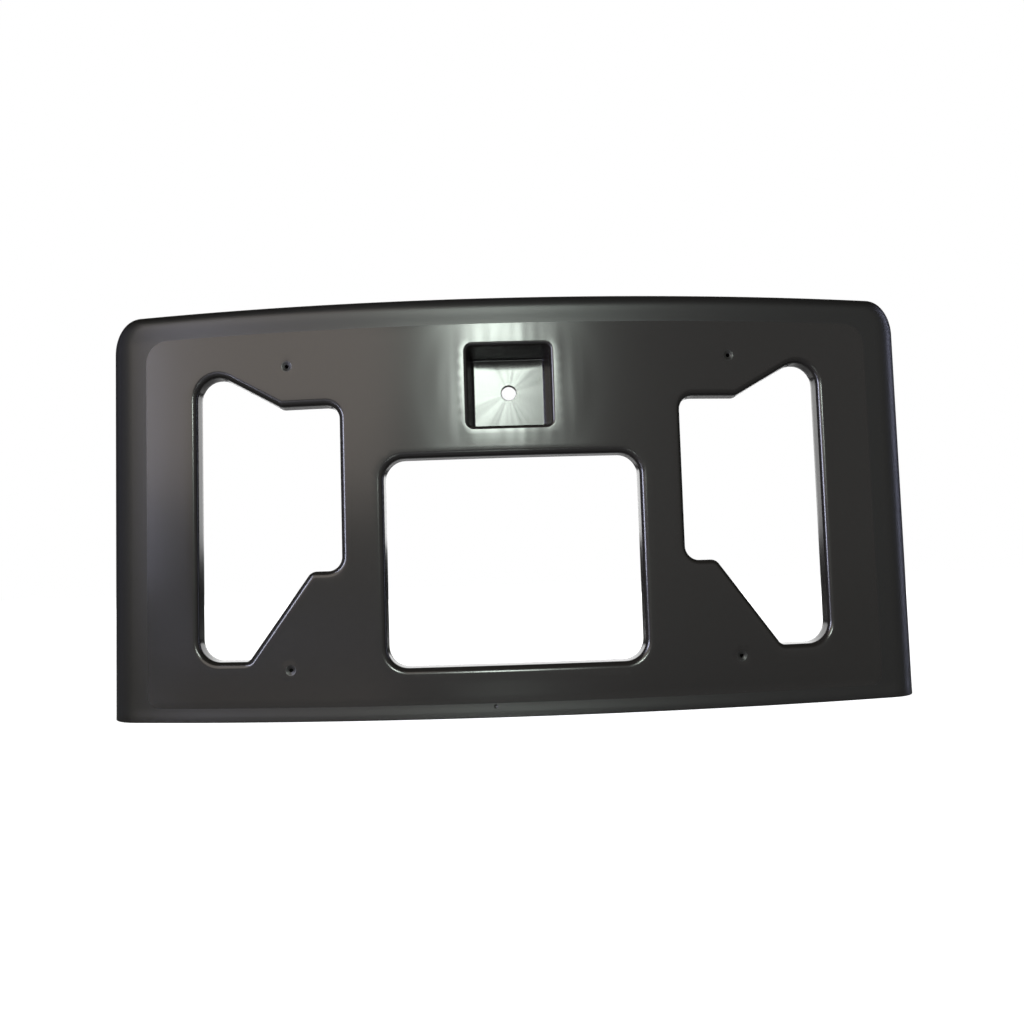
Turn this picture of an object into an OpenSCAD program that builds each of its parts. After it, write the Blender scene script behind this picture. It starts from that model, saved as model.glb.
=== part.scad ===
/* [Panel] */
// Overall width
panel_w = 333; // [315:1:360]
// Overall height
panel_h = 166; // [160:1:185]
// Radius of the bow across the front, so that the middle stands proud of the ends
bow_r = 700; // [550:10:1200]
// Thickness of the face and of the rolled skirt
wall = 2.5; // [2:0.1:3]
// Radius of the roll between the face and the skirt along the top
top_r = 5.5; // [4:0.5:7]
// Wider radius of the roll down the two sides
side_r = 12; // [8:0.5:14]
// Radius of the two top corners of the whole outline, seen from the front
corner_r = 14; // [12:1:24]
// Radius of the same corners where the flat border ends and the roll starts
face_corner_r = 7; // [5:0.5:10]
// Depth of the skirt behind the face
skirt_depth = 20; // [16:1:26]

/* [Field] */
// Width of the smooth field that the plate lies on
field_w = 297; // [280:1:300]
// Grained border below the field
border_low = 5.5; // [4:0.5:8]
// Grained border above the field
border_top = 11.5; // [9:0.5:14]
// Depth of the field below the border
field_step = 0.45; // [0.2:0.05:0.8]
// Radius of the field's two lower corners
field_low_r = 5; // [3:0.5:10]
// Radius of the field's two upper corners
field_top_r = 9; // [5:0.5:14]

/* [Middle window] */
// Width of the clear opening
window_w = 101; // [80:1:110]
// Height of the clear opening
window_h = 81.5; // [60:0.5:86]
// Height of its lower side above the bottom edge
window_low = 20; // [16:0.5:26]
// Radius of its corners
window_r = 8; // [5:0.5:14]

/* [Side windows] */
// Distance from the middle to the inner upright side
side_in = 68.3; // [66:0.1:74]
// Distance from the middle to the outer upright side
side_out = 126.5; // [122:0.1:132]
// Height of the lower side above the bottom edge
side_low = 23.8; // [20:0.1:28]
// Height of the short ledge under the inner side
ledge_h = 58.7; // [52:0.1:66]
// Distance from the middle to the knee where the ledge turns down
knee_x = 80.5; // [78:0.1:86]
// Slope of the lower edge below the knee, from level
knee_slope = 53.5; // [48:0.5:60]
// Height of the level upper side
shelf_h = 124.2; // [118:0.1:128]
// Distance from the middle to the point where the upper side starts to rise
shelf_end = 91.8; // [88:0.1:98]
// Slope of the rising upper edge, from level
shelf_slope = 29.5; // [22:0.5:32]
// Radius of the outer corners
outer_r = 8.5; // [6:0.5:11]
// Radius of the inner corners
inner_r = 5.3; // [4:0.1:7]
// Radius of the knee, and of the bend in the upper side
bend_r = 4.5; // [3.5:0.1:6]
// Radius of the acute corner at the foot of the slope
foot_r = 2.5; // [2:0.1:4]

/* [Window walls] */
// Depth of the walls round the windows, measured from the face
lip_depth = 8; // [6:0.5:10]
// Thickness of those walls
lip_wall = 2.2; // [1.8:0.1:2.6]
// Radius of the rounded mouth of the windows
mouth_r = 2.6; // [1.2:0.1:3.2]
// Draft of the window walls, in degrees
lip_draft = 3; // [1:0.5:5]

/* [Screw pocket] */
// Width of the mouth inside its rounding
pocket_w = 33; // [30:0.5:38]
// Height of the mouth inside its rounding
pocket_h = 32; // [28:0.5:36]
// Radius of the rounding
pocket_mouth_r = 1.6; // [0.8:0.1:2]
// Height of its middle above the bottom edge
pocket_z = 129.7; // [128:0.1:134]
// Depth of the floor behind the middle of the face
pocket_depth = 18; // [15:0.5:22]
// How far each side of the pocket leans in from the mouth to the floor
pocket_lean = 1.8; // [1:0.1:4]
// Radius of the upright corners at the mouth
pocket_r = 2; // [1.5:0.1:3]
// Radius of the same corners at the floor
pocket_floor_r = 0.8; // [0.5:0.1:1.6]
// Thickness of the floor
pocket_floor = 2.2; // [2:0.1:4]
// Diameter of the screw hole in the floor
hole_d = 6; // [4:0.1:8]
// Width of the low cone that the floor rises to round the hole
pad_d = 26; // [16:0.5:27]
// Height of that cone at the hole
pad_h = 0.5; // [0.2:0.05:0.8]

/* [Plate screws] */
// Distance across the plate between its screws
screw_w = 177.8; // [170:0.1:184]
// Distance up the plate between its screws
screw_h = 120.65; // [118:0.05:122]
// Height of the lower screws above the bottom edge
screw_low = 20; // [16:0.1:22]
// Diameter of the conical start for a screw
dimple_d = 3.8; // [3:0.1:5]
// Depth of that start
dimple_depth = 0.6; // [0.4:0.1:1.2]
// Diameter of the blind pilot hole
pilot_d = 1.6; // [1.4:0.1:2.4]
// Depth of the pilot hole from the face
pilot_depth = 7; // [5:0.5:8]
// Diameter of the boss behind the face
boss_d = 8; // [7:0.5:9]
// Depth of the boss from the face
boss_depth = 9.5; // [9:0.5:12]

/* [Ribs] */
// Thickness of the stiffening ribs
rib_t = 1.8; // [1.4:0.1:2.4]
// Depth of the ribs from the face
rib_depth = 12; // [8:0.5:15]
// Distance between the two ribs from the pocket up to the skirt
pocket_rib_gap = 20; // [12:1:24]
// Height of the lower rib between each side window and the skirt
side_rib_low = 48; // [42:1:60]
// Height of the upper rib between each side window and the skirt
side_rib_top = 104; // [90:1:112]
// How far a side rib reaches into the wall round the window
rib_sink = 0.4; // [0.2:0.1:1]

/* [Gate mark] */
// Distance of the mark from the middle, to the left
gate_x = 9; // [0:0.5:20]
// Distance of the mark below the field
gate_drop = 1.2; // [1:0.1:2.5]
// Diameter of the mark
gate_d = 1.6; // [1:0.1:2.4]
// Depth of the mark
gate_depth = 0.4; // [0.2:0.1:0.6]

/* [Hidden] */

half_w = panel_w / 2;
// Overall depth, from the middle of the face to the ends of the skirt
total_depth = bow_y(half_w, skirt_depth);
// Places of the plate's screws
screw_xs = [-screw_w / 2, screw_w / 2];
screw_zs = [screw_low, screw_low + screw_h];
// Widening of a window from its back edge to the inner end of its rounded mouth
lip_lean = (lip_depth - field_step - mouth_r) * tan(lip_draft);
// Inner end of the side ribs, just inside the outer side of the window's wall
rib_start = side_out + lip_lean + lip_wall - rib_sink;
// Spare length that lets a cutting shape pass clean through
over = 5;
// Fineness of round features and of the bow
round_fn = 48;
bow_fn = 360;
// Steps on each arc of an outline, and the longest step on a straight side
arc_steps = 6;
side_step = 12;
// Angles of the rings on a rounding, from the face at 0 to the wall at 90 degrees
roll_angles = [15:15:90];
mouth_angles = [40:25:90];
// How far the first ring of a rounding stands off the surface, and the slope there of a mouth
ring_off = 0.3;
mouth_start = 30;

// Place along Y of the bowed face at x, or of a surface at a depth behind it
function bow_y(x, depth = 0) = bow_r - sqrt(pow(bow_r - depth, 2) - x * x);

function unit(v) = v / norm(v);

function plan(corner) = [corner.x, corner.y];

function around(list, i) = list[(i + len(list)) % len(list)];

// Points on the arc at one corner of an outline that is grown outwards by grow.
// A corner is [x, z, radius], and the corners run anticlockwise.
function corner_arc(corners, i, grow) =
    let(
        p = plan(corners[i]),
        a = unit(p - plan(around(corners, i - 1))),
        b = unit(plan(around(corners, i + 1)) - p),
        turn = atan2(a.x * b.y - a.y * b.x, a * b),
        side = sign(turn),
        r = corners[i].z,
        n = side * [-a.y, a.x],
        centre = p - a * r * tan(abs(turn) / 2) + n * r
    )
    [
        for (k = [0:arc_steps])
            let(q = turn * k / arc_steps)
                centre - (r + side * grow) * [n.x * cos(q) - n.y * sin(q), n.x * sin(q) + n.y * cos(q)]
    ];

// Steps that a straight side needs to follow the bow
function side_steps(a, b) = max(1, ceil(abs(b.x - a.x) / side_step));

// The whole outline, grown outwards by grow, as points in the X-Z plane.
// The steps are counted on the guide's corners, so that stacked rings match.
function outline(corners, grow = 0, guide = undef) =
    let(
        arcs = [for (i = [0:len(corners) - 1]) corner_arc(corners, i, grow)],
        model = guide == undef ? corners : guide
    )
    [
        for (i = [0:len(corners) - 1])
            let(
                a = arcs[i][arc_steps],
                b = around(arcs, i + 1)[0],
                steps = side_steps(model[i], around(model, i + 1))
            )
            each concat(arcs[i], [for (k = [1:1:steps - 1]) a + (b - a) * k / steps])
    ];

// A ring in space at one place along Y
function level_ring(points, y) = [for (p = points) [p.x, y, p.y]];

// A ring in space that follows the bow, at a depth behind the face
function bowed_ring(points, depth) = [for (p = points) [p.x, bow_y(p.x, depth), p.y]];

// Closed solid through a stack of rings, front to back, that all have as many points
module loft(rings) {
    n = len(rings[0]);
    last = len(rings) - 1;
    polyhedron(
        points = [for (ring = rings) each ring],
        faces = concat(
            [[for (i = [n - 1:-1:0]) i]],
            [[for (i = [0:n - 1]) last * n + i]],
            [
                for (k = [0:last - 1], i = [0:n - 1])
                    let(a = k * n + i, b = k * n + (i + 1) % n)
                    each [[a, b, b + n], [a, b + n, a + n]]
            ]
        )
    );
}

// Straight prism along Y through the whole part, on an outline in the X-Z plane
module prism(points) {
    translate([0, total_depth + over, 0])
        rotate([90, 0, 0]) linear_extrude(total_depth + 2 * over) polygon(points);
}

// Everything behind the bowed surface at a depth
module bow_core(depth) {
    translate([0, bow_r, -over]) cylinder(h = panel_h + 2 * over, r = bow_r - depth, $fn = bow_fn);
}

// Cylinder or cone along Y, from a place on its axis towards the back
module round_y(x, y, z, length, d1, d2) {
    translate([x, y, z]) rotate([-90, 0, 0]) cylinder(h = length, d1 = d1, d2 = d2, $fn = round_fn);
}

// Conical start for a screw or a mark, sunk to a depth where it is as wide as tip_d
module cone_pit(x, face_depth, z, d, depth, tip_d) {
    slope = (d - tip_d) / depth;
    round_y(x, bow_y(x, face_depth) - over, z, over + d / slope, d + over * slope, 0);
}

function box_corners(low, high, half, low_r, top_r) = [
    [-half, low, low_r], [half, low, low_r], [half, high, top_r], [-half, high, top_r]
];

function field_corners() =
    box_corners(border_low, panel_h - border_top, field_w / 2, field_low_r, field_top_r);

function window_corners() =
    box_corners(window_low, window_low + window_h, window_w / 2, window_r, window_r);

function pocket_corners(lean, r) =
    box_corners(
        pocket_z - pocket_h / 2 + lean, pocket_z + pocket_h / 2 - lean, pocket_w / 2 - lean, r, r
    );

// Right-hand side window: shelf and rising edge above, ledge, knee and long slope below
function side_corners() =
    let(
        foot_x = knee_x + (ledge_h - side_low) / tan(knee_slope),
        peak_h = shelf_h + (side_out - shelf_end) * tan(shelf_slope)
    )
    [
        [foot_x, side_low, foot_r], [side_out, side_low, outer_r], [side_out, peak_h, outer_r],
        [shelf_end, shelf_h, bend_r], [side_in, shelf_h, inner_r], [side_in, ledge_h, inner_r],
        [knee_x, ledge_h, bend_r]
    ];

// The same corners on the other side of the middle, still anticlockwise
function mirrored(corners) =
    [for (i = [len(corners) - 1:-1:0]) [-corners[i].x, corners[i].y, corners[i].z]];

function all_windows() = [window_corners(), side_corners(), mirrored(side_corners())];

// Rings of a mouth of radius r that leaves the field at a slope and rounds into a wall
function mouth_rings(corners, r, lean) =
    let(
        first = mouth_angles[0],
        drop = r * (1 - cos(first)) + ring_off,
        flare = lean + r * (1 - sin(first)) + drop / tan(mouth_start)
    )
    concat(
        [
            level_ring(outline(corners, flare), -over),
            bowed_ring(outline(corners, flare), field_step - ring_off)
        ],
        [
            for (q = mouth_angles)
                bowed_ring(outline(corners, lean + r * (1 - sin(q))), field_step + r * (1 - cos(q)))
        ]
    );

// Corners of the block's outline at a share of the way out across its roll, let in by inset
function rolled_corners(share, inset) =
    let(
        half = half_w - side_r + (side_r - inset) * share,
        high = panel_h - top_r + (top_r - inset) * share,
        r = face_corner_r + (corner_r - inset - face_corner_r) * share
    )
    box_corners(-corner_r - over, high, half, r, r);

// How much of the wide side roll a point of such an outline takes: none on the top, all on a side
function side_share(p, corners) =
    let(half = corners[1].x, high = corners[2].y, r = corners[2].z)
    p.y < high - r ? 1 : pow(max(0, abs(p.x) - half + r) / r, 2);

// Ring of the roll where it has turned by q, from the face at 0 to the skirt at 90 degrees
function roll_ring(q, inset) =
    let(corners = rolled_corners(sin(q), inset))
    [
        for (p = outline(corners, 0, rolled_corners(1, 0)))
            let(r = top_r - inset + (side_r - top_r) * side_share(p, corners))
            [p.x, bow_y(p.x, inset + r * (1 - cos(q))), p.y]
    ];

// Block with the bowed front and the rolled edge, let in all round by inset
module block(inset, back) {
    full = rolled_corners(1, 0);
    last = outline(rolled_corners(1, inset), 0, full);
    face = outline(rolled_corners(0, inset), 0, full);
    intersection() {
        loft(concat(
            [level_ring(face, -over), bowed_ring(face, inset - ring_off)],
            [for (q = roll_angles) roll_ring(q, inset)],
            [level_ring(last, back)]
        ));
        bow_core(inset);
    }
}

// Face with its skirt on three sides, which follows the bow at the back
module rolled_shell() {
    difference() {
        block(0, total_depth + over);
        block(wall, total_depth + 2 * over);
        bow_core(skirt_depth);
    }
}

// Walls behind the face round the three windows
module window_lips() {
    difference() {
        for (corners = all_windows()) prism(outline(corners, lip_lean + lip_wall));
        bow_core(lip_depth);
    }
}

// Bosses behind the face for the plate's screws
module screw_bosses() {
    difference() {
        for (x = screw_xs, z = screw_zs)
            round_y(x, -over, z, total_depth + over, boss_d, boss_d);
        bow_core(boss_depth);
    }
}

// Box of the screw pocket, with walls that lean in to its flat back
module pocket_box() {
    mouth = pocket_corners(0, pocket_r);
    loft([
        level_ring(outline(mouth, lip_wall), 0),
        level_ring(
            outline(pocket_corners(pocket_lean, pocket_floor_r), lip_wall, mouth),
            pocket_depth + pocket_floor
        )
    ]);
}

// Ribs from the pocket up to the skirt, and from each side window out to the skirt
module ribs() {
    difference() {
        union() {
            for (s = [-1, 1]) {
                translate([s * pocket_rib_gap / 2 - rib_t / 2, 0, pocket_z])
                    cube([rib_t, total_depth, panel_h - pocket_z]);
                for (z = [side_rib_low, side_rib_top])
                    translate([s > 0 ? rib_start : -half_w, 0, z - rib_t / 2])
                        cube([half_w - rib_start, total_depth, rib_t]);
            }
        }
        bow_core(rib_depth);
    }
}

// Space of a window: rounded mouth, then a wall whose draft runs on behind it
module window_space(corners) {
    tail = outline(corners, -over * tan(lip_draft));
    loft(concat(
        mouth_rings(corners, mouth_r, lip_lean),
        [bowed_ring(tail, lip_depth + over), level_ring(tail, total_depth + over)]
    ));
}

// Space of the screw pocket, down to its floor, which rises to a low cone round the hole
module pocket_space() {
    mouth = pocket_corners(0, pocket_r);
    cone_h = pad_h * pad_d / (pad_d - hole_d);
    difference() {
        loft(concat(
            mouth_rings(mouth, pocket_mouth_r, 0),
            [level_ring(outline(pocket_corners(pocket_lean, pocket_floor_r), 0, mouth), pocket_depth)]
        ));
        round_y(0, pocket_depth - cone_h, pocket_z, 2 * cone_h, 0, 2 * pad_d);
    }
}

// Screw hole through the pocket's floor
module screw_hole() {
    round_y(0, pocket_depth - over, pocket_z, pocket_floor + 2 * over, hole_d, hole_d);
}

// Space in front of the smooth field, which lies lower than the grained border
module field_space() {
    difference() {
        prism(outline(field_corners()));
        bow_core(field_step);
    }
}

// Conical starts and blind pilot holes for the plate's screws
module screw_starts() {
    for (x = screw_xs, z = screw_zs) {
        cone_pit(x, field_step, z, dimple_d, dimple_depth, pilot_d);
        round_y(x, bow_y(x) - over, z, over + pilot_depth, pilot_d, pilot_d);
    }
}

// The moulding before its openings are cut: shell, lowered field and what stands behind it
module solid_moulding() {
    union() {
        difference() {
            rolled_shell();
            field_space();
        }
        intersection() {
            block(wall / 2, total_depth + over);
            union() {
                window_lips();
                screw_bosses();
                pocket_box();
                ribs();
            }
        }
    }
}

module open_moulding() {
    difference() {
        solid_moulding();
        for (corners = all_windows()) window_space(corners);
        pocket_space();
    }
}

module plate_holder() {
    color("#27272b") translate([0, -total_depth / 2, 0]) difference() {
        open_moulding();
        screw_hole();
        screw_starts();
        cone_pit(-gate_x, 0, border_low - gate_drop, gate_d, gate_depth, 0);
        translate([-panel_w, -over, -panel_w]) cube([2 * panel_w, total_depth + 3 * over, panel_w]);
    }
}

plate_holder();
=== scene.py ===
# %% [markdown]
# # A number plate holder
#
# The object is one black plastic moulding that screws to a car's front bumper and carries the number plate. It is
# bowed across its width like the bumper. It has a rolled rim on the top and the sides, a smooth field that the plate
# lies on, a fine-grained border round the field, three open windows and a deep pocket for the bumper's screw.
#
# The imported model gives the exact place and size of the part. This lesson rebuilds its skin as one fine mesh, so that
# the bow, the rolled rim and the rounded mouths reflect the lamps without facets, and then gives it real finishes.

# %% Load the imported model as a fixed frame
import math

import bmesh
import bpy
import numpy as np
from mathutils import Matrix, Vector
from mathutils.geometry import delaunay_2d_cdt


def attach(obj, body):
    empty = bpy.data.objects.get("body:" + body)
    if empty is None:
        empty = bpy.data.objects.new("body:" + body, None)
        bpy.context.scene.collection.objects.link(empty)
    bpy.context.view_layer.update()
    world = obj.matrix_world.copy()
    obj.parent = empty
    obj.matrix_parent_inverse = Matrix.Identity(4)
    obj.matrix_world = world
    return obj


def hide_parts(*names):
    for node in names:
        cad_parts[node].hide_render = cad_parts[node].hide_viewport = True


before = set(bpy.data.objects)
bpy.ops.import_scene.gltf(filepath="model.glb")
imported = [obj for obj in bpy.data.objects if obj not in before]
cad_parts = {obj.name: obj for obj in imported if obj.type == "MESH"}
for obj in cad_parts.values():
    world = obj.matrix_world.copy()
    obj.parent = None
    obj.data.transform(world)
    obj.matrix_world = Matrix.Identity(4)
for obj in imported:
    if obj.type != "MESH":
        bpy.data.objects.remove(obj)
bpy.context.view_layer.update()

# %% [markdown]
# ## The camera
#
# The photograph was taken from close by, a little above the middle, and slightly to the left. The camera's place,
# its three angles and its lens come from fitting the four plate screws and the bowed edges of the part. A close
# camera matters here: it makes the bow show, and it lets the eye look at the walls of the windows.

# %% Camera at the photograph's place
CAMERA_PLACE = (-0.0076, -0.3701, 0.0566)
PITCH, YAW, ROLL = -3.70, 1.16, -1.76
FOCAL_LENGTH = 31.52

scene = bpy.context.scene
look = (
    Matrix.Rotation(math.radians(ROLL), 3, "Y")
    @ Matrix.Rotation(math.radians(PITCH), 3, "X")
    @ Matrix.Rotation(math.radians(YAW), 3, "Z")
)
right, forward, up = look
camera_data = bpy.data.cameras.new("camera")
camera_data.lens = FOCAL_LENGTH
camera_data.sensor_width = 36
camera_data.clip_start = 0.01
camera = bpy.data.objects.new("camera", camera_data)
camera.matrix_world = Matrix.Translation(CAMERA_PLACE) @ Matrix((right, up, -forward)).transposed().to_4x4()
scene.collection.objects.link(camera)
scene.camera = camera
scene.view_settings.view_transform = "Standard"
print("camera", [round(v, 4) for v in camera.location], "lens", camera_data.lens, "mm")

# %% [markdown]
# ## The real sizes
#
# Everything below is in millimetres, measured from the middle of the face's front, at the height of the bottom edge,
# as a drawing of the part would give it. Only the last step turns it into metres. A name that ends in _R is a radius,
# in _D a diameter, in _W, _H and _T a width, a height and a thickness, and in _X and _Z a place.

# %% Sizes of the moulding, in millimetres
PANEL_W, PANEL_H, BOW_R, WALL, SKIRT_DEPTH = 333, 166, 700, 2.5, 20
TOP_R, SIDE_R, CORNER_R, FACE_CORNER_R = 5.5, 12, 14, 7
FIELD_W, BORDER_LOW, BORDER_TOP, FIELD_STEP, SLOPE_W = 297, 5.5, 11.5, 0.45, 5
LIP_DEPTH, LIP_WALL, LIP_DRAFT, MOUTH_R = 8, 2.2, 3, 2.6
POCKET_W, POCKET_H, POCKET_Z, POCKET_MOUTH_R = 33, 32, 129.7, 1.6
POCKET_DEPTH, POCKET_LEAN, POCKET_FLOOR = 18, 1.8, 2.2
POCKET_R, POCKET_FLOOR_R, HOLE_D = 2, 0.8, 6
SCREW_W, SCREW_H, SCREW_LOW = 177.8, 120.65, 20
DIMPLE_D, DIMPLE_DEPTH, PILOT_D, PILOT_DEPTH = 3.8, 0.6, 1.6, 7
BOSS_D, BOSS_DEPTH = 8, 9.5
RIB_T, RIB_DEPTH, RIB_SINK = 1.8, 12, 0.4
POCKET_RIB_XS, POCKET_RIB_FRONT_Z, POCKET_RIB_BACK_Z, END_RIB_ZS = (-10, 10), 147.2, 146, (48, 104)
GATE_X, GATE_DROP = -9, 1.2
MM = 0.001

HALF_W = PANEL_W / 2
LIP_LEAN = (LIP_DEPTH - FIELD_STEP - MOUTH_R) * math.tan(math.radians(LIP_DRAFT))


def bow_y(x, depth=0.0):
    """Place along Y of the bowed face at x, or of the surface at a depth behind it."""
    return BOW_R - np.sqrt((BOW_R - depth) ** 2 - np.square(x))


def border_depth(z):
    """Depth of the border: the field's own depth beside it, and less and less above and below it."""
    beyond = np.maximum(BORDER_LOW - z, z - PANEL_H + BORDER_TOP)
    return FIELD_STEP * np.clip(1 - beyond / SLOPE_W, 0, 1)


TOTAL_DEPTH = float(bow_y(HALF_W, SKIRT_DEPTH))
print("the bow is", round(float(bow_y(HALF_W)), 2), "mm deep at the ends; overall depth", round(TOTAL_DEPTH, 2), "mm")

# %% [markdown]
# ## Outlines with rounded corners
#
# Each window, the field and the pocket is a polygon with a radius at every corner. One function draws them all. It
# can grow the outline outwards by any amount with the same number of points, so that several of them can be stacked
# into a wall, as a draughtsman stacks contour lines.

# %% Outline of a rounded polygon
ARC_STEPS = 10
SIDE_STEP = 3.0


def corner_arc(corners, i, grow):
    """Points round one corner. A corner is (x, z, radius), and the corners run anticlockwise."""
    here, before, after = (np.array(corners[k % len(corners)][:2], float) for k in (i, i - 1, i + 1))
    a, b = here - before, after - here
    a, b = a / np.hypot(*a), b / np.hypot(*b)
    turn = math.atan2(a[0] * b[1] - a[1] * b[0], a @ b)
    side = math.copysign(1, turn)
    radius = corners[i][2]
    n = side * np.array([-a[1], a[0]])
    centre = here - a * radius * math.tan(abs(turn) / 2) + n * radius
    q = turn * np.arange(ARC_STEPS + 1) / ARC_STEPS
    spin = np.column_stack([n[0] * np.cos(q) - n[1] * np.sin(q), n[0] * np.sin(q) + n[1] * np.cos(q)])
    return centre - (radius + side * grow) * spin


def outline(corners, grow=0.0, guide=None):
    """The closed outline as an array of (x, z). The steps are counted on the guide's corners."""
    model = guide or corners
    arcs = [corner_arc(corners, i, grow) for i in range(len(corners))]
    points = []
    for i, arc in enumerate(arcs):
        a, b = arc[-1], arcs[(i + 1) % len(arcs)][0]
        side = math.dist(model[i][:2], model[(i + 1) % len(model)][:2])
        steps = max(1, math.ceil(side / SIDE_STEP))
        points += [arc, a + np.outer(np.arange(1, steps) / steps, b - a)]
    return np.vstack(points)


def box_corners(low, high, half, low_r, top_r):
    """Corners of a box from its low and high edges, half its width, and the radii of its low and top corners."""
    return [(-half, low, low_r), (half, low, low_r), (half, high, top_r), (-half, high, top_r)]


def circle(x, z, radius, count=40):
    """Points round a circle, as an array of (x, z)."""
    q = np.arange(count) / count * math.tau
    return np.column_stack([x + radius * np.cos(q), z + radius * np.sin(q)])


# %% Corners of the field, the pocket and the windows
WINDOW_LOW, WINDOW_HIGH, WINDOW_W, WINDOW_R = 20, 101.5, 101, 8
SIDE_IN, SIDE_OUT, SIDE_LOW, SIDE_HIGH = 68.3, 126.5, 23.8, 124.2
STEP_X, STEP_Z, FOOT_ANGLE = 80.5, 58.7, 53.5
CREST_X, CREST_ANGLE = 91.8, 29.5
SIDE_FOOT_R, SIDE_OUT_R, SIDE_BEND_R, SIDE_IN_R = 2.5, 8.5, 4.5, 5.3
FIELD_LOW_R, FIELD_TOP_R = 5, 9

field_corners = box_corners(BORDER_LOW, PANEL_H - BORDER_TOP, FIELD_W / 2, FIELD_LOW_R, FIELD_TOP_R)
window_corners = box_corners(WINDOW_LOW, WINDOW_HIGH, WINDOW_W / 2, WINDOW_R, WINDOW_R)
foot_x = STEP_X + (STEP_Z - SIDE_LOW) / math.tan(math.radians(FOOT_ANGLE))
peak_z = SIDE_HIGH + (SIDE_OUT - CREST_X) * math.tan(math.radians(CREST_ANGLE))
side_corners = [
    (foot_x, SIDE_LOW, SIDE_FOOT_R),
    (SIDE_OUT, SIDE_LOW, SIDE_OUT_R),
    (SIDE_OUT, peak_z, SIDE_OUT_R),
    (CREST_X, SIDE_HIGH, SIDE_BEND_R),
    (SIDE_IN, SIDE_HIGH, SIDE_IN_R),
    (SIDE_IN, STEP_Z, SIDE_IN_R),
    (STEP_X, STEP_Z, SIDE_BEND_R),
]
other_side_corners = [(-x, z, r) for x, z, r in reversed(side_corners)]
all_windows = [window_corners, side_corners, other_side_corners]


def pocket_corners(lean, radius):
    """Corners of the pocket where its walls have leaned in by lean."""
    half_h = POCKET_H / 2 - lean
    return box_corners(POCKET_Z - half_h, POCKET_Z + half_h, POCKET_W / 2 - lean, radius, radius)


screw_places = [(x, z) for x in (-SCREW_W / 2, SCREW_W / 2) for z in (SCREW_LOW, SCREW_LOW + SCREW_H)]
print("each side window has", len(outline(side_corners)), "points round it")

# %% [markdown]
# ## Three ways to make skin
#
# A wall is a stack of rings, joined by quads. A sheet is an area with holes, such as the field, that has to be filled
# between its outer loop and its holes. The sheet is filled by triangles over an even mesh of points, which a Delaunay
# triangulation joins, and every point is then laid on the bow. A lid closes a small blind end.
#
# A boolean modifier could cut the windows too, but it leaves long thin triangles on the bow, and these show as
# streaks in a glossy finish.

# %% Rings, walls, sheets and lids
GRID = 2.6
bm = bmesh.new()
SMOOTH, GRAINED, PLAIN, DEEP = range(4)


def ring(points, y):
    """Vertices at the outline's points. y is one number or one per point."""
    ys = np.broadcast_to(y, len(points))
    return [bm.verts.new((p[0], q, p[1])) for p, q in zip(points, ys)]


def bowed_ring(points, depth):
    """Vertices at the outline's points, laid on the bow at a depth behind the face."""
    return ring(points, bow_y(points[:, 0], depth))


def bridge(a, b, finish, closed=True):
    """Quads between two rings with as many points."""
    count = len(a)
    for i in range(count if closed else count - 1):
        j = (i + 1) % count
        bm.faces.new((a[i], a[j], b[j], b[i])).material_index = finish


def wall(rings, finish, closed=True):
    """Quads between each ring of a stack and the next."""
    for a, b in zip(rings, rings[1:]):
        bridge(a, b, finish, closed)


def lid(loop, finish):
    """Closes a round loop with a fan to its middle."""
    middle = bm.verts.new(sum((v.co for v in loop), Vector()) / len(loop))
    for a, b in zip(loop, loop[1:] + loop[:1]):
        bm.faces.new((a, b, middle)).material_index = finish


# %% Fill an area that has holes
ROW_STEP = 0.866  # distance between rows of even triangles, as a share of their side
CLEARANCE = 0.55  # least distance from a new point to an edge, as a share of the mesh's step


def inside(points, loop):
    """Which of the points lie inside the closed loop, by counting the sides to the right of each."""
    hits = np.zeros(len(points), int)
    x, z = points[:, 0], points[:, 1]
    for (ax, az), (bx, bz) in zip(loop, np.roll(loop, -1, axis=0)):
        if az != bz:
            crosses = (az > z) != (bz > z)
            hits += crosses & (x < ax + (z - az) * (bx - ax) / (bz - az))
    return hits % 2 == 1


def gap(points, loop):
    """Distance from each point to the nearest side of the loop."""
    best = np.full(len(points), 1e9)
    for a, b in zip(loop, np.roll(loop, -1, axis=0)):
        along = b - a
        t = np.clip((points - a) @ along / max(along @ along, 1e-12), 0, 1)
        best = np.minimum(best, np.hypot(*(points - a - np.outer(t, along)).T))
    return best


def even_points(low, high, step):
    """Points in rows that are set off by half a step, so that they make even triangles."""
    xs, zs = np.arange(low[0], high[0], step), np.arange(low[1], high[1], step * ROW_STEP)
    return np.array([(x + step / 2 * (k % 2), z) for k, z in enumerate(zs) for x in xs])


def sheet(loops, place, finish, step=GRID):
    """Triangles between the first loop and the holes, which are the others. place() gives Y for new points."""
    flat = [np.array([(v.co.x, v.co.z) for v in loop]) for loop in loops]
    spare = even_points(flat[0].min(axis=0) + step / 2, flat[0].max(axis=0), step)
    spare = spare[inside(spare, flat[0])]
    for k, loop in enumerate(flat):
        if k:
            spare = spare[~inside(spare, loop)]
        spare = spare[gap(spare, loop) > step * CLEARANCE]
    verts = [v for loop in loops for v in loop]
    verts += ring(spare, place(spare))
    edges, start = [], 0
    for loop in loops:
        count = len(loop)
        edges += [(start + i, start + (i + 1) % count) for i in range(count)]
        start += count
    points = [Vector(p) for p in np.vstack([*flat, spare])]
    made, _, faces, origins, _, _ = delaunay_2d_cdt(points, edges, [], 0, 1e-7)
    middles = np.array([sum((made[i] for i in f), Vector((0, 0))) / 3 for f in faces])
    keep = inside(middles, flat[0])
    for loop in flat[1:]:
        keep &= ~inside(middles, loop)
    for f, good in zip(faces, keep):
        if good:
            bm.faces.new([verts[origins[i][0]] for i in f]).material_index = finish
    return int(keep.sum())


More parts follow.
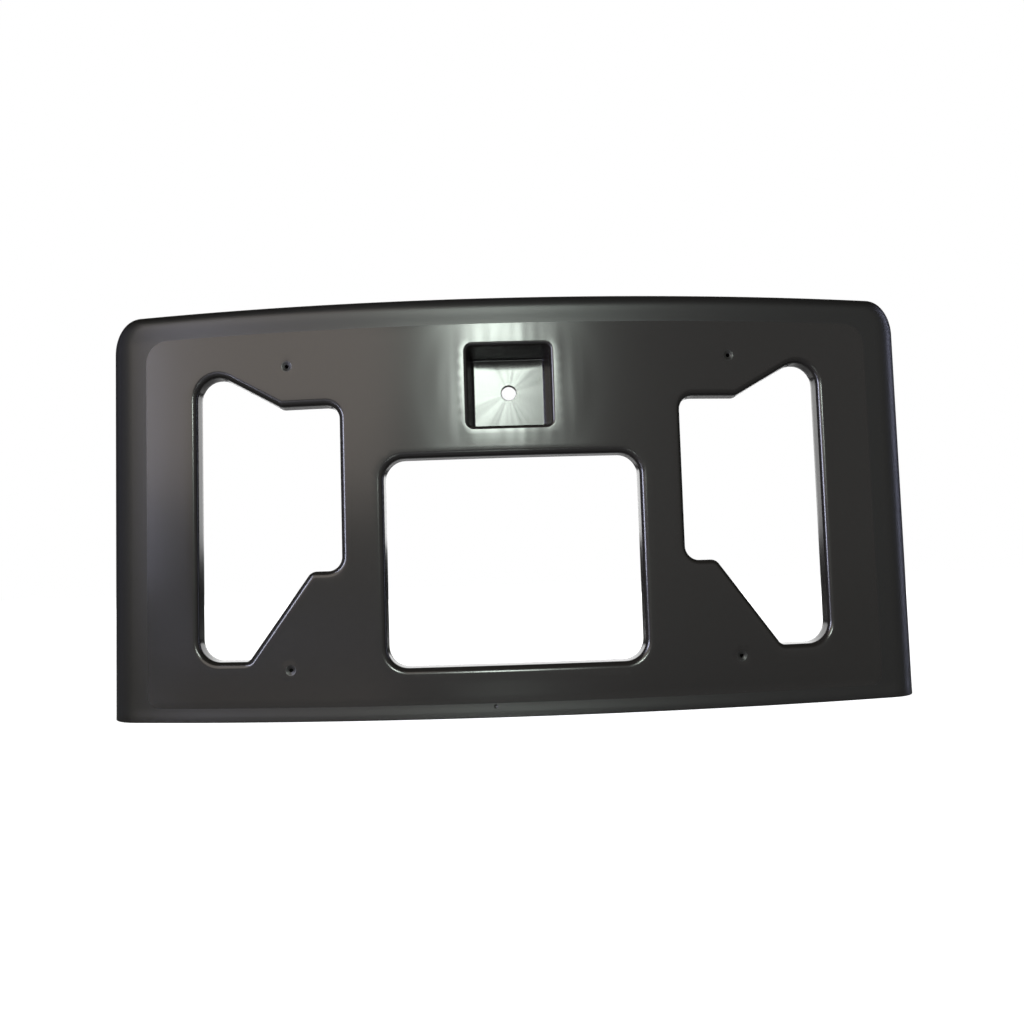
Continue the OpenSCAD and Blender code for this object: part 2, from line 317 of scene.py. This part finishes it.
# %% [markdown]
# ## The shell
#
# The rim is one path that climbs the left side, goes over the top and comes down the right side. Let in step by step
# and set back step by step along a quarter circle, it rolls from the face into the skirt. The same path makes the
# inside of the shell at one wall thickness, which is how such a part is designed: an even wall cools evenly in the
# mould and leaves no sink marks on the glossy face.

# %% The rolled rim and the skirt
BOTTOM_R = 0.35
RIM_R = 0.3
ROLL_STEPS, SKIRT_STEPS = 12, 5
SIDE_POINTS, TOP_POINTS = 49, 55
CORNER_TURNS = np.linspace(math.pi, math.pi / 2, 19)


def both_sides(half, flip):
    """The left half of the rim, and its mirror image as the right half."""
    return np.concatenate([half, half[-2::-1] * flip])


def rim_path(share, inset, bottom):
    """The open path up one side, over the top and down the other, at a share of the way out across the roll."""
    x = HALF_W - SIDE_R + (SIDE_R - inset) * share
    z = PANEL_H - TOP_R + (TOP_R - inset) * share
    radius = FACE_CORNER_R + (CORNER_R - inset - FACE_CORNER_R) * share
    up_side = np.linspace(bottom, z - radius, SIDE_POINTS + 1)[:-1]
    up_side = np.column_stack([np.full(SIDE_POINTS, -x), up_side])
    turn = (radius - x, z - radius) + radius * np.column_stack([np.cos(CORNER_TURNS), np.sin(CORNER_TURNS)])
    top = np.linspace(radius - x, 0, TOP_POINTS + 1)[1:]
    top = np.column_stack([top, np.full(TOP_POINTS, z)])
    return both_sides(np.vstack([up_side, turn, top]), (-1, 1))


# How far each point of the path takes the side's wide roll, from 1 at the sides to 0 along the top.
side_share = np.concatenate([np.ones(SIDE_POINTS), np.cos(CORNER_TURNS) ** 2, np.zeros(TOP_POINTS)])
side_share = both_sides(side_share, 1)


def rolled_rings(inset, bottom, sink=0):
    """Rings from the edge of the flat face round the roll, and then down the skirt. The face there may lie sunk."""
    radius = TOP_R - inset + (SIDE_R - TOP_R) * side_share
    rings = []
    for q in np.linspace(0, math.pi / 2, ROLL_STEPS + 1):
        depth = inset + radius * (1 - math.cos(q)) + sink * (1 - math.sin(q))
        rings.append(bowed_ring(rim_path(math.sin(q), inset, bottom), depth))
    start = inset + radius
    for t in np.linspace(0, 1, SKIRT_STEPS + 1)[1:]:
        rings.append(bowed_ring(rim_path(1, inset, bottom), start + (SKIRT_DEPTH - RIM_R - start) * t))
    return rings


outer_rings = rolled_rings(0, BOTTOM_R, border_depth(rim_path(0, 0, BOTTOM_R)[:, 1]))
inner_rings = rolled_rings(WALL, 0)
outer_rim = bowed_ring(rim_path(1, RIM_R, 0), SKIRT_DEPTH)
inner_rim = bowed_ring(rim_path(1, WALL - RIM_R, 0), SKIRT_DEPTH)
wall(outer_rings, GRAINED, closed=False)
wall([outer_rings[-1], outer_rim, inner_rim, inner_rings[-1]], PLAIN, closed=False)
wall(inner_rings, PLAIN, closed=False)
print("the rim has", len(side_share), "points on each of", len(outer_rings) + len(inner_rings), "rings")

# %% The square-cut bottom edge
BOTTOM_POINTS = 127
bottom_xs = (SIDE_R - HALF_W) * np.linspace(1, -1, BOTTOM_POINTS + 2)[1:-1]
front_foot = bowed_ring(np.column_stack([bottom_xs, np.full(BOTTOM_POINTS, BOTTOM_R)]), 0)
back_foot = bowed_ring(np.column_stack([bottom_xs, np.zeros(BOTTOM_POINTS)]), WALL)
front_line = [r[0] for r in outer_rings[::-1]] + front_foot + [r[-1] for r in outer_rings]
back_line = [r[0] for r in inner_rings[::-1]] + back_foot + [r[-1] for r in inner_rings]
foot_rows = [front_line]
for q in np.radians((30, 60, 90)):
    row = []
    for a, b in zip(front_line, back_line):
        inward = (b.co - a.co) * Vector((1, 1, 0))
        spot = a.co + inward.normalized() * BOTTOM_R * (1 - math.cos(q))
        row.append(bm.verts.new((spot.x, spot.y, BOTTOM_R * (1 - math.sin(q)))))
    foot_rows.append(row)
wall([*foot_rows, back_line], PLAIN, closed=False)
for end in (0, -1):
    strip = [row[end] for row in foot_rows] + [back_line[end], inner_rim[end], outer_rim[end]]
    bm.faces.new(strip).material_index = PLAIN
print("the bottom edge has", len(front_line), "points along it")

# %% [markdown]
# ## The windows
#
# Every window has a rounded mouth, a wall that runs back with 3 degrees of draft, and a cut-off back edge. The draft
# lets the part slide off the mould's core. The wall's outer side and the sheet behind the face meet at the ring that
# this step keeps for later.

# %% Mouths and walls of the windows
LIP_EDGE_R = 0.3
LIP_BACK_GROW = LIP_LEAN + LIP_WALL
front_holes, back_holes = [], []


def mouth(radius, lean, last=90, steps=10):
    """Growth and depth along the rounding from the field into a wall."""
    q = np.radians(np.linspace(0, last, steps + 1))
    return [(lean + radius * (1 - math.sin(a)), FIELD_STEP + radius * (1 - math.cos(a))) for a in q]


for corners in all_windows:
    stack = mouth(MOUTH_R, LIP_LEAN)
    wall_depths = np.linspace(stack[-1][1], LIP_DEPTH - LIP_EDGE_R, 4)[1:]
    stack += [(LIP_LEAN * t, depth) for t, depth in zip((0.66, 0.33, 0), wall_depths)]
    stack += [(LIP_EDGE_R * 0.3, LIP_DEPTH - LIP_EDGE_R * 0.3), (LIP_EDGE_R, LIP_DEPTH)]
    stack += [(LIP_BACK_GROW - LIP_EDGE_R, LIP_DEPTH), (LIP_BACK_GROW, LIP_DEPTH - LIP_EDGE_R)]
    stack.append((LIP_BACK_GROW, WALL))
    rings = [bowed_ring(outline(corners, grow), depth) for grow, depth in stack]
    wall(rings[:-3], SMOOTH)
    wall(rings[-4:], PLAIN)
    front_holes.append(rings[0])
    back_holes.append(rings[-1])
    print("window with", len(rings[0]), "points on each of", len(rings), "rings")

# %% [markdown]
# ## The screw pocket
#
# The pocket takes the head of the one screw that holds the part to the bumper. Its walls lean in to a floor that is
# flat but for its upper part, which leans back by about 3 degrees. There the floor mirrors the dark wall above it,
# and the edge of that dark reflection is a soft V.

# %% The pocket's mouth and walls
FLOOR_EDGE_R, FLOOR_RAISE = 0.6, 0.35
# The floor starts to lean back LEAN_FROM above the hole's middle, and LEAN_RISE higher for every mm to the side.
LEAN_FROM, LEAN_RISE, LEAN_SLOPE, LEAN_REACH = 8.3, 0.12, 0.06, 6
mouth_corners = pocket_corners(0, POCKET_R)
mouth_stack = mouth(POCKET_MOUTH_R, 0, 90 - math.degrees(math.atan(POCKET_LEAN / POCKET_DEPTH)))
rings = [bowed_ring(outline(mouth_corners, grow), depth) for grow, depth in mouth_stack]
WALL_START = FIELD_STEP + POCKET_MOUTH_R


def pocket_ring(y):
    """Ring on the pocket's wall at a depth y."""
    t = (y - WALL_START) / (POCKET_DEPTH - WALL_START)
    corners = pocket_corners(POCKET_LEAN * t, POCKET_R + (POCKET_FLOOR_R - POCKET_R) * t)
    return ring(outline(corners, 0, mouth_corners), y)


def floor_y(points):
    """Depth of the floor, which leans back above a line shaped like a soft V."""
    beyond = points[:, 1] - POCKET_Z - LEAN_FROM - LEAN_RISE * np.abs(points[:, 0])
    return POCKET_DEPTH - FLOOR_RAISE + LEAN_SLOPE * np.clip(beyond, 0, LEAN_REACH)


wall_depths = np.linspace(WALL_START + 1.5, POCKET_DEPTH - FLOOR_EDGE_R - 0.5, 8)
rings += [pocket_ring(y) for y in wall_depths]
fillet = [(1 - math.cos(q), 1 - math.sin(q)) for q in np.radians((20, 40, 60, 75, 90))]
for let_in, up_wall in [*fillet, (1.2, 0)]:
    points = outline(pocket_corners(POCKET_LEAN + FLOOR_EDGE_R * let_in, POCKET_FLOOR_R), 0, mouth_corners)
    rings.append(ring(points, floor_y(points) - FLOOR_EDGE_R * up_wall))
wall(rings[: len(mouth_stack)], SMOOTH)
wall(rings[len(mouth_stack) - 1 :], DEEP)
front_holes.append(rings[0])

# %% The floor and the hole through it
HOLE_R, OUT_Y = HOLE_D / 2, POCKET_DEPTH + POCKET_FLOOR
hole = []
# Each step of the hole's wall is what it adds to the radius, and its depth past the end of the pocket's walls.
steps = [(0.4, -FLOOR_RAISE), (0.2, -FLOOR_RAISE), (0.06, -0.3), (0, -0.15)]
steps += [(0, POCKET_FLOOR - 0.2), (0.2, POCKET_FLOOR)]
for grow, y in steps:
    hole.append(ring(circle(0, POCKET_Z, HOLE_R + grow, 64), POCKET_DEPTH + y))
wall(hole, DEEP)
sheet([rings[-1], hole[0]], floor_y, DEEP, 1.2)

# %% The pocket's outside, behind the face
rings = []
for t in np.linspace(0, 1, 6):
    corners = pocket_corners(POCKET_LEAN * t, POCKET_R + (POCKET_FLOOR_R - POCKET_R) * t)
    points = outline(corners, LIP_WALL, mouth_corners)
    rings.append(ring(points, bow_y(points[:, 0], WALL) * (1 - t) + OUT_Y * t))
wall(rings, PLAIN)
sheet([rings[-1], hole[-1]], lambda p: np.full(len(p), OUT_Y), PLAIN)
back_holes.append(rings[0])
print("the pocket is", POCKET_DEPTH, "mm deep, with a hole of", HOLE_D, "mm")

# %% [markdown]
# ## The four plate screws
#
# The face has only a small conical start at each screw, so that a self-tapping screw finds its place. Behind each
# stands a boss, a short round post that gives the screw's thread enough plastic to bite into.

# %% Screw starts in front, bosses behind
DIMPLE_R, PILOT_R, BOSS_EDGE_R, BOSS_LID_CUT = DIMPLE_D / 2, PILOT_D / 2, 0.3, 2.2

for x, z in screw_places:
    pit = [(DIMPLE_R * k, FIELD_STEP + d) for k, d in ((1.15, 0), (1.0, 0.05), (0.9, 0.13))]
    pit += [(PILOT_R, FIELD_STEP + DIMPLE_DEPTH), (PILOT_R, PILOT_DEPTH / 2), (PILOT_R, PILOT_DEPTH)]
    rings = [bowed_ring(circle(x, z, r), d) for r, d in pit]
    wall(rings, PLAIN)
    lid(rings[-1], PLAIN)
    front_holes.append(rings[0])
    post = [(0, WALL), (0, BOSS_DEPTH - BOSS_EDGE_R), (BOSS_EDGE_R, BOSS_DEPTH), (BOSS_LID_CUT, BOSS_DEPTH)]
    rings = [bowed_ring(circle(x, z, BOSS_D / 2 - cut), d) for cut, d in post]
    wall(rings, PLAIN)
    lid(rings[-1], PLAIN)
    back_holes.append(rings[0])
print(len(screw_places), "screw starts and bosses")

# %% [markdown]
# ## The face and its back
#
# The field lies 0.45 mm lower than the top of the roll. Above and below the field the border falls to it evenly over
# 5 mm, a slope of 5 degrees, and beside the field the border is level with it and runs into the wide side roll. So no
# sharp step shows, only a change from grained to smooth. In the border below the field is the mark of the mould's
# gate.

# %% The gate mark, and the surfaces that the sheets lie on
def on_border(points):
    """Y of the border at the points (x, z)."""
    return bow_y(points[:, 0], border_depth(points[:, 1]))


def on_bow(depth):
    """A function that gives Y at the points (x, z) of the bowed surface at a depth."""
    return lambda points: bow_y(points[:, 0], depth)


GATE_PIT = ((0.8, 0), (0.62, 0.12), (0.4, 0.3), (0.15, 0.38))  # radius and depth of each ring

field_edge = bowed_ring(outline(field_corners), FIELD_STEP)
gate = []
for radius, depth in GATE_PIT:
    spot = circle(GATE_X, BORDER_LOW - GATE_DROP, radius, 24)
    gate.append(ring(spot, on_border(spot) + depth))
wall(gate, GRAINED)
lid(gate[-1], GRAINED)

# %% The field, the border and the back
front_loop = outer_rings[0] + front_foot[::-1]
back_loop = inner_rings[0] + back_foot[::-1]
counts = {
    "field": sheet([field_edge, *front_holes], on_bow(FIELD_STEP), SMOOTH),
    "border": sheet([front_loop, field_edge, gate[0]], on_border, GRAINED, 1.6),
    "back": sheet([back_loop, *back_holes], on_bow(WALL), PLAIN),
}
print("triangles:", counts)

# %% [markdown]
# ## Ribs
#
# Two short ribs tie the pocket to the top of the skirt, and two more brace each end. They are plain thin plates. Each
# one starts half a wall deep inside the wall it stands on, so that no gap can show.

# %% Ribs behind the face
EMBED = WALL / 2


def plate(side, thickness, across):
    """A thin plate from its side view, a list of points, spread by half its thickness each way along across."""
    faces = []
    for s in (-1, 1):
        shift = Vector(across) * thickness / 2 * s
        faces.append([bm.verts.new(Vector(p) + shift) for p in side])
    bm.faces.new(faces[0][::-1]).material_index = PLAIN
    bm.faces.new(faces[1]).material_index = PLAIN
    bridge(faces[0], faces[1], PLAIN)


turns = np.radians(np.linspace(90, 0, 7))
top_roll = [
    (EMBED + (TOP_R - EMBED) * (1 - math.cos(q)), PANEL_H - TOP_R + (TOP_R - EMBED) * math.sin(q)) for q in turns
]
for x in POCKET_RIB_XS:
    side = [(EMBED, POCKET_RIB_FRONT_Z), (RIB_DEPTH, POCKET_RIB_BACK_Z), (RIB_DEPTH, PANEL_H - EMBED), *top_roll]
    plate([(x, y + float(bow_y(x)), z) for y, z in side], RIB_T, (1, 0, 0))
rib_start = SIDE_OUT + LIP_BACK_GROW - RIB_SINK
xs = np.linspace(rib_start, HALF_W - SIDE_R, 8)
side_roll = [
    (HALF_W - SIDE_R + (SIDE_R - EMBED) * math.sin(q), EMBED + (SIDE_R - EMBED) * (1 - math.cos(q))) for q in turns
]
rib_side = [(x, EMBED) for x in xs] + side_roll[-2::-1] + [(x, RIB_DEPTH) for x in xs[::-1]]
for s in (-1, 1):
    for z in END_RIB_ZS:
        plate([(s * x, float(bow_y(x, d)), z) for x, d in rib_side], RIB_T, (0, 0, 1))
print("ribs: 2 at the pocket and 4 at the ends")

# %% [markdown]
# ## From drawing to object
#
# The mesh moves back by half the part's depth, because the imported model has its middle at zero, and shrinks to
# metres. Edges between faces that meet at less than 32 degrees are shaded smooth, and sharper ones stay crisp.

# %% The finished mesh
SHARP_ANGLE = math.radians(32)
bmesh.ops.recalc_face_normals(bm, faces=bm.faces)
for face in bm.faces:
    face.smooth = True
for edge in bm.edges:
    edge.smooth = edge.is_manifold and edge.calc_face_angle(0) < SHARP_ANGLE
open_edges = sum(not e.is_manifold for e in bm.edges)
bm.transform(Matrix.Scale(MM, 4) @ Matrix.Translation((0, -TOTAL_DEPTH / 2, 0)))
mesh = bpy.data.meshes.new("holder_skin")
bm.to_mesh(mesh)
bm.free()
holder = bpy.data.objects.new("holder_moulding", mesh)
scene.collection.objects.link(holder)
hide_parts("plate_holder")
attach(holder, "root")
mesh.calc_loop_triangles()
print("the skin has", len(mesh.loop_triangles), "triangles and", open_edges, "open edges")

# %% [markdown]
# ## Colours and nodes
#
# Colours are written as the hex values that a screen shows. Blender works with linear light, so one function turns
# one into the other. A second small function adds a node, sets its values and links it.

# %% Two helpers for materials
def colour(code):
    """Linear colour for a material, from an sRGB hex value."""
    parts = [int(code[i : i + 2], 16) / 255 for i in (1, 3, 5)]
    return (*(p / 12.92 if p <= 0.04045 else ((p + 0.055) / 1.055) ** 2.4 for p in parts), 1)


def node(tree, kind, links=None, **settings):
    """Adds a node. settings are its options or the values of its sockets, and links are what feeds its sockets."""
    made = tree.nodes.new(kind)
    for name, value in settings.items():
        if hasattr(made, name):
            setattr(made, name, value)
        else:
            made.inputs[name.replace("_", " ")].default_value = value
    for name, source in (links or {}).items():
        tree.links.new(source, made.inputs[name])
    return made


# %% [markdown]
# ## Black polypropylene
#
# The part is polypropylene, coloured black right through. Its base colour is never pure black: the soot in it still
# sends back about one part in a hundred of the light. What the eye sees is mostly the gloss, and that depends on the
# face of the mould that the plastic lay against. So one plastic gets four finishes:
#
# - The field lay against a polished face. Its soft reflections waver slightly where the plastic shrank as it cooled,
#   and long faint streaks near the pocket show where the plastic flowed round it.
# - The pocket was shaped by a finer polished pin. It is the glossiest, with faint spokes round its hole.
# - The border and the rim lay against a fine-etched face, which scatters the light, so they look more matt.
# - The back and the four screw starts lay against plain machined steel. Nobody sees the back on a car.

# %% Smooth plastic of the field and the windows
POLYPROPYLENE_IOR = 1.49


def new_plastic(name, base, roughness):
    """A plastic with one base colour and one roughness, its node tree and its shader."""
    material = bpy.data.materials.new(name)
    material.use_nodes = True
    tree = material.node_tree
    shader = tree.nodes["Principled BSDF"]
    shader.inputs["Base Color"].default_value = colour(base)
    shader.inputs["Roughness"].default_value = roughness
    shader.inputs["IOR"].default_value = POLYPROPYLENE_IOR
    return material, tree, shader


def spread_from_hole(tree, place):
    """Distance from the middle of the hole, seen from the front, and the flat vector it is the length of."""
    moved = node(tree, "ShaderNodeVectorMath", {0: place.outputs["Object"]}, operation="SUBTRACT")
    moved.inputs[1].default_value = (0, 0, POCKET_Z * MM)
    spread = node(tree, "ShaderNodeVectorMath", {0: moved.outputs["Vector"]}, operation="MULTIPLY")
    spread.inputs[1].default_value = (1, 0, 1)
    away = node(tree, "ShaderNodeVectorMath", {0: spread.outputs["Vector"]}, operation="LENGTH")
    return away.outputs["Value"], spread.outputs["Vector"]


smooth, tree, shader = new_plastic("black_polypropylene_polished", "#1c1a18", 0.19)
place = node(tree, "ShaderNodeTexCoord")
waver = node(tree, "ShaderNodeTexNoise", {"Vector": place.outputs["Object"]}, Scale=1 / (30 * MM), Detail=1.0)
scale = (1 / (9 * MM), 0, 1 / (70 * MM))
stretch = node(tree, "ShaderNodeMapping", {"Vector": place.outputs["Object"]}, Scale=scale)
flow = node(tree, "ShaderNodeTexNoise", {"Vector": stretch.outputs["Vector"]}, Scale=1.0, Detail=1.0)
away, _ = spread_from_hole(tree, place)
reach = {"From_Min": 20 * MM, "From_Max": 36 * MM, "To_Min": 1.0, "To_Max": 0.0}
near = node(tree, "ShaderNodeMapRange", {"Value": away}, interpolation_type="SMOOTHSTEP", **reach)
streaks = {0: flow.outputs["Fac"], 1: near.outputs["Result"]}
streaks = node(tree, "ShaderNodeMath", streaks, operation="MULTIPLY")
bump = node(tree, "ShaderNodeBump", {"Height": waver.outputs["Fac"]}, Strength=0.4, Distance=0.15 * MM)
links = {"Height": streaks.outputs["Value"], "Normal": bump.outputs["Normal"]}
bump = node(tree, "ShaderNodeBump", links, Strength=1.0, Distance=0.25 * MM)
tree.links.new(bump.outputs["Normal"], shader.inputs["Normal"])

# %% Glossier plastic inside the pocket, with faint spokes round its hole
deep, tree, shader = new_plastic("black_polypropylene_glossy", "#1c1a18", 0.17)
place = node(tree, "ShaderNodeTexCoord")
away, spread = spread_from_hole(tree, place)
bearing = node(tree, "ShaderNodeVectorMath", {0: spread}, operation="NORMALIZE")
spokes = node(tree, "ShaderNodeTexNoise", {"Vector": bearing.outputs["Vector"]}, Scale=2.2, Detail=1.5)
height = node(tree, "ShaderNodeMath", {0: spokes.outputs["Fac"], 1: away}, operation="MULTIPLY")
bump = node(tree, "ShaderNodeBump", {"Height": height.outputs["Value"]}, Strength=1.0, Distance=8 * MM, invert=True)
tree.links.new(bump.outputs["Normal"], shader.inputs["Normal"])

# %% Fine-grained plastic of the border and the rim
grained, tree, shader = new_plastic("black_polypropylene_grained", "#171615", 0.38)
place = node(tree, "ShaderNodeTexCoord")
grain = node(tree, "ShaderNodeTexNoise", {"Vector": place.outputs["Object"]}, Scale=1 / (0.5 * MM), Detail=3.0)
bump = node(tree, "ShaderNodeBump", {"Height": grain.outputs["Fac"]}, Strength=0.3, Distance=0.1 * MM)
tree.links.new(bump.outputs["Normal"], shader.inputs["Normal"])

# %% Plain plastic of the back
plain, tree, shader = new_plastic("black_polypropylene_plain", "#1f1e1d", 0.38)
place = node(tree, "ShaderNodeTexCoord")
marks = node(tree, "ShaderNodeTexNoise", {"Vector": place.outputs["Object"]}, Scale=1 / (1.2 * MM), Detail=3.0)
bump = node(tree, "ShaderNodeBump", {"Height": marks.outputs["Fac"]}, Strength=0.15, Distance=0.1 * MM)
tree.links.new(bump.outputs["Normal"], shader.inputs["Normal"])

for material in (smooth, grained, plain, deep):
    mesh.materials.append(material)
print("materials:", [m.name for m in mesh.materials])

# %% [markdown]
# ## Floor, background and light
#
# The part stands on a pale floor before a white background. Rays that go straight to the camera see both as white,
# while the floor still keeps the part's faint shadow.
#
# A black glossy part is lit by what it mirrors. In a white room its rims would turn grey, but the photograph shows
# them nearly black. So glossy rays see a dim room instead, which is dark behind the part and overhead, and a floor
# that mirrors it at a low angle. The lamps then draw the shape:
#
# - A tall narrow strip above and behind the camera, with a wider and weaker halo round it, gives the bright upright
#   band above the pocket.
# - A large warm lamp at the upper left gives the left half its soft sheen.
# - A bluish panel close by on the left is seen edge-on from the part's left end, and so lights up only the sides that
#   turn to it further right, and the weak side lamp fills in behind it.
# - A thin lamp far to the right draws one bluish line down the right roll.
# - The lamp behind the part shows its ribs and bosses when the camera goes round it.
# - The lamp overhead lights the floor, and isn't mirrored in the part.

# %% Floor and backdrop
floor_mesh = bpy.data.meshes.new("floor")
floor_mesh.from_pydata([(-3, -3, 0), (3, -3, 0), (3, 3, 0), (-3, 3, 0)], [], [(0, 1, 2, 3)])
floor = bpy.data.objects.new("floor", floor_mesh)
scene.collection.objects.link(floor)
floor_paint = bpy.data.materials.new("pale_floor")
floor_paint.use_nodes = True
tree = floor_paint.node_tree
shader = tree.nodes["Principled BSDF"]
shader.inputs["Roughness"].default_value = 0.08
shader.inputs["Emission Color"].default_value = colour("#ffffff")
rays = node(tree, "ShaderNodeLightPath").outputs["Is Camera Ray"]
paint = node(tree, "ShaderNodeMapRange", {"Value": rays}, To_Min=0.25, To_Max=0.8)
tree.links.new(paint.outputs["Result"], shader.inputs["Base Color"])
gloss = node(tree, "ShaderNodeMapRange", {"Value": rays}, To_Min=0.3, To_Max=0.0)
tree.links.new(gloss.outputs["Result"], shader.inputs["Specular IOR Level"])
place = node(tree, "ShaderNodeTexCoord")
away = node(tree, "ShaderNodeVectorMath", {0: place.outputs["Object"]}, operation="LENGTH")
reach = {"From_Min": 0.3, "From_Max": 1.0, "To_Min": 0.72, "To_Max": 1.0}
glow = node(tree, "ShaderNodeMapRange", {"Value": away.outputs["Value"]}, **reach)
seen = node(tree, "ShaderNodeMath", {0: rays, 1: glow.outputs["Result"]}, operation="MULTIPLY")
tree.links.new(seen.outputs["Value"], shader.inputs["Emission Strength"])
floor_mesh.materials.append(floor_paint)

# %% The room round it
world = bpy.data.worlds.new("studio")
world.use_nodes = True
scene.world = world
tree = world.node_tree
place = node(tree, "ShaderNodeTexCoord")
way = node(tree, "ShaderNodeSeparateXYZ", {"Vector": place.outputs["Generated"]})
reach = {"From_Min": -0.6, "From_Max": 0.1, "To_Min": 0.45, "To_Max": 0.02}
ahead = node(tree, "ShaderNodeMapRange", {"Value": way.outputs["Y"]}, **reach)
reach = {"From_Min": 0.3, "From_Max": 0.85, "To_Min": 1.0, "To_Max": 0.03}
above = node(tree, "ShaderNodeMapRange", {"Value": way.outputs["Z"]}, **reach)
room = {0: ahead.outputs["Result"], 1: above.outputs["Result"]}
room = node(tree, "ShaderNodeMath", room, operation="MULTIPLY")
rays = node(tree, "ShaderNodeLightPath").outputs["Is Camera Ray"]
strength = node(tree, "ShaderNodeMath", {0: rays, 1: room.outputs["Value"]}, operation="MAXIMUM")
background = tree.nodes["Background"]
background.inputs["Color"].default_value = colour("#ffffff")
tree.links.new(strength.outputs["Value"], background.inputs["Strength"])
print("floor and background are ready")

# %% Lamps
def soft_lamp(name, place, target, width, height, watts, tint, mirrored=True):
    """A flat lamp of a width and height at a place, turned to its target. The camera never sees it."""
    data = bpy.data.lights.new(name, "AREA")
    data.shape = "RECTANGLE"
    data.size, data.size_y = width, height
    data.energy = watts
    data.color = colour(tint)[:3]
    lamp = bpy.data.objects.new(name, data)
    lamp.location = place
    lamp.rotation_mode = "QUATERNION"
    lamp.rotation_quaternion = (Vector(target) - Vector(place)).to_track_quat("-Z", "Y")
    lamp.visible_camera = False
    lamp.visible_glossy = mirrored
    scene.collection.objects.link(lamp)


soft_lamp("strip", (-0.03, -1.5, 0.55), (-0.01, 0, 0.14), 0.185, 0.42, 8.2, "#f2fff4")
soft_lamp("strip_halo", (0.0, -1.52, 0.53), (-0.01, 0, 0.14), 0.5, 0.46, 4.0, "#f4fff6")
soft_lamp("left", (-1.0, -1.45, 0.86), (0, 0, 0.1), 1.4, 1.3, 12.3, "#fff2e6")
soft_lamp("panel", (-0.73, -0.52, 0.205), (-0.06, -1.263, 0.205), 1.05, 0.31, 25, "#dfe2ff")
soft_lamp("side", (-1.2, 0.0, 0.3), (0, 0, 0.1), 1.2, 0.9, 0.7, "#d8dcff")
soft_lamp("right", (1.11, 0.31, 0.3), (0.165, 0, 0.1), 0.12, 0.8, 1.2, "#d8dcff")
soft_lamp("back", (0, 1.5, 0.55), (0, 0, 0.1), 1.6, 0.9, 9, "#ffffff")
soft_lamp("overhead", (0, 0, 1.6), (0, 0.01, 0), 1.2, 1.2, 8, "#ffffff", mirrored=False)
